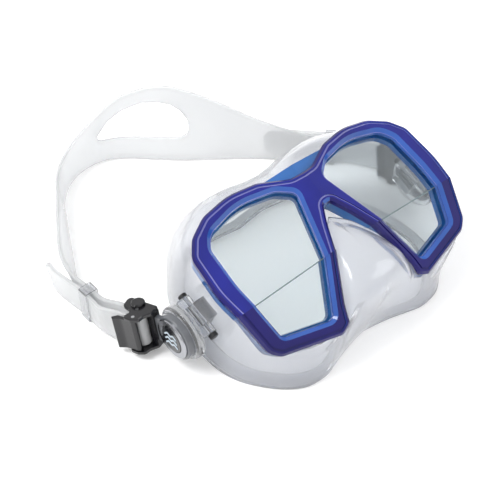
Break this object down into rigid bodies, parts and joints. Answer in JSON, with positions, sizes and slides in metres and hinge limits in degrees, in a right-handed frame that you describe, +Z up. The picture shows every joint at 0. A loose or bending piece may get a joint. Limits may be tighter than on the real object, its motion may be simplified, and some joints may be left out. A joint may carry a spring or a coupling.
{
  "type": "diving mask",
  "caption": "Diving mask with paired framed glass lenses, a clear silicone skirt with nose pocket, and a split head strap on swivelling roller buckles.",
  "frame": {"origin": "middle of the bounding box, on the surface that the mask lies on", "axes": "+Z up; +X towards the wearer's side of the right-hand lens as seen from the front; -Y from the forehead to the nose; the strap lies behind, towards +Y"},
  "size_m": [0.2397, 0.2382, 0.0809],
  "materials": {
    "bezel_blue": "polished, translucent deep violet blue",
    "frame_blue": "polished, translucent azure blue",
    "lens_glass": "clear tempered glass, faint green-grey tint",
    "skirt_silicone": "satin, water-clear to milky silicone",
    "strap_silicone": "satin, milky clear silicone",
    "clear_plastic": "polished, clear",
    "ring_smoke": "polished, smoke grey",
    "ring_bright": "polished",
    "badge_black": "polished",
    "badge_mark": "satin pale inlay",
    "buckle_black": "gloss with fine moulded grain",
    "pin_steel": "drawn stainless rod",
    "cap_black": "satin"
  },
  "bodies": {
    "mask": {"front_bezel": "bezel_blue", "main_frame": "frame_blue", "skirt": "skirt_silicone", "upper_lens_left": "lens_glass", "lower_lens_left": "lens_glass", "ear_bracket_left": "clear_plastic", "hinge_pin_left": "pin_steel", "pin_caps_left": "cap_black", "upper_lens_right": "lens_glass", "lower_lens_right": "lens_glass", "ear_bracket_right": "clear_plastic", "hinge_pin_right": "pin_steel", "pin_caps_right": "cap_black"},
    "strap": {"strap": "strap_silicone"},
    "base_left": {"swivel_base_left": "clear_plastic", "ring_cap_left": "ring_bright", "badge_left": "badge_black", "badge_mark_left": "badge_mark"},
    "ring_left": {"swivel_ring_left": "ring_smoke", "buckle_frame_left": "buckle_black", "roller_axle_left": "pin_steel", "lever_axle_left": "pin_steel"},
    "lever_left": {"cam_lever_left": "buckle_black"},
    "roller_left": {"roller_left": "buckle_black"},
    "keeper_left": {"keeper_left": "clear_plastic"},
    "base_right": {"swivel_base_right": "clear_plastic", "ring_cap_right": "ring_bright", "badge_right": "badge_black", "badge_mark_right": "badge_mark"},
    "ring_right": {"swivel_ring_right": "ring_smoke", "buckle_frame_right": "buckle_black", "roller_axle_right": "pin_steel", "lever_axle_right": "pin_steel"},
    "lever_right": {"cam_lever_right": "buckle_black"},
    "roller_right": {"roller_right": "buckle_black"},
    "keeper_right": {"keeper_right": "clear_plastic"}
  },
  "joints": [
    {"name": "strap_swing", "type": "hinge", "parent": "mask", "child": "strap", "pos_m": [0.00382, -0.05335, 0.0208], "axis": [1, 0, 0], "range_deg": [-60, 100]},
    {"name": "base_yaw_left", "type": "hinge", "parent": "mask", "child": "base_left", "pos_m": [-0.08418, -0.05709, 0.03146], "axis": [0, 0.9354, 0.3535], "range_deg": [-8, 0], "stiffness_Nm_per_rad": 0.3, "deforming": ["strap"]},
    {"name": "ring_turn_left", "type": "hinge", "parent": "base_left", "child": "ring_left", "pos_m": [-0.09218, -0.05335, 0.0208], "axis": [1, 0, 0], "range_deg": [-60, 100]},
    {"name": "lever_left", "type": "hinge", "parent": "ring_left", "child": "lever_left", "pos_m": [-0.11147, -0.03522, 0.01728], "axis": [0, 0.1908, 0.9816], "range_deg": [0, 25], "stiffness_Nm_per_rad": 0.02},
    {"name": "roller_spin_left", "type": "hinge", "parent": "ring_left", "child": "roller_left", "pos_m": [-0.10582, -0.03164, 0.01658], "axis": [0, 0.1908, 0.9816], "continuous": true},
    {"name": "base_yaw_right", "type": "hinge", "parent": "mask", "child": "base_right", "pos_m": [0.09182, -0.05709, 0.03146], "axis": [0, -0.9354, -0.3535], "range_deg": [-8, 0], "stiffness_Nm_per_rad": 0.3, "deforming": ["strap"]},
    {"name": "ring_turn_right", "type": "hinge", "parent": "base_right", "child": "ring_right", "pos_m": [0.09982, -0.05335, 0.0208], "axis": [1, 0, 0], "range_deg": [-60, 100]},
    {"name": "lever_right", "type": "hinge", "parent": "ring_right", "child": "lever_right", "pos_m": [0.11572, -0.0316, 0.01657], "axis": [0, -0.1908, -0.9816], "range_deg": [0, 25], "stiffness_Nm_per_rad": 0.02},
    {"name": "roller_spin_right", "type": "hinge", "parent": "ring_right", "child": "roller_right", "pos_m": [0.10926, -0.02979, 0.01622], "axis": [0, 0.1908, 0.9816], "continuous": true},
    {"name": "keeper_slide_left", "type": "slide", "parent": "strap", "child": "keeper_left", "axis": [0, 1, 0], "range_m": [-0.003, 0.003]},
    {"name": "keeper_slide_right", "type": "slide", "parent": "strap", "child": "keeper_right", "axis": [-0.6858, 0.7278, 0], "range_m": [-0.003, 0.003]}
  ],
  "couplings": [
    {"joint": "ring_turn_left", "follows": "strap_swing", "ratio": 1},
    {"joint": "ring_turn_right", "follows": "strap_swing", "ratio": 1},
    {"joint": "base_yaw_right", "follows": "base_yaw_left", "ratio": 1}
  ]
}
